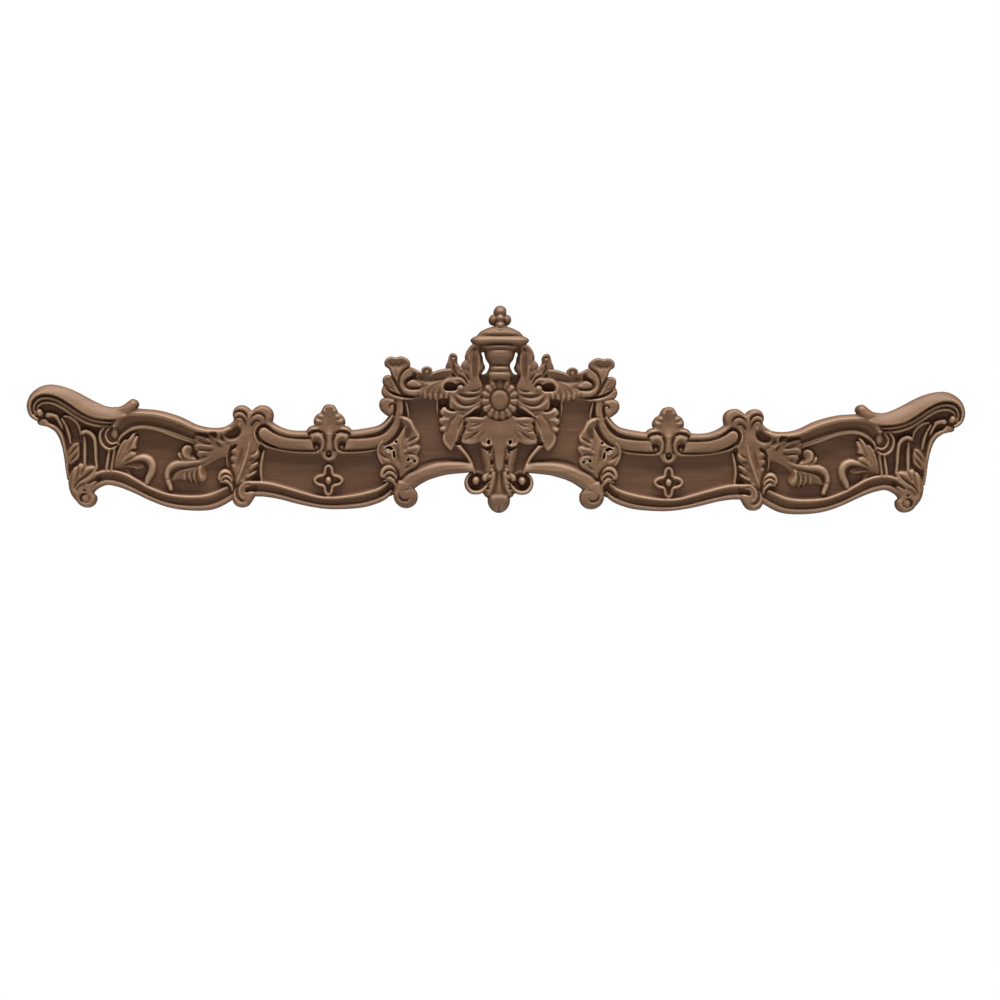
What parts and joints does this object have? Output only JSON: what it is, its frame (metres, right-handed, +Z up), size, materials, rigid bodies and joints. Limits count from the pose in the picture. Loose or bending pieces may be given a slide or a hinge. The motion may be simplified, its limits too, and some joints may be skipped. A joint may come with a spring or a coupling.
{
  "type": "carved wood applique",
  "caption": "Long carved wooden overdoor crest: an urn over a rosette and leafy cartouche, with panelled scroll wings that end in upswept horns, and a flat back for fixing to a surface.",
  "frame": {"origin": "on the flat back face, on the middle line of the length, behind the rosette", "axes": "+X along the length, +Z up towards the urn, +Y out of the flat back into the surface it is fixed to, so the carved front looks towards -Y"},
  "size_m": [0.938, 0.024, 0.2072],
  "materials": {
    "wood": "raw sanded hardwood, machine carved, unfinished"
  },
  "bodies": {
    "root": {"applique": "wood"}
  },
  "joints": []
}
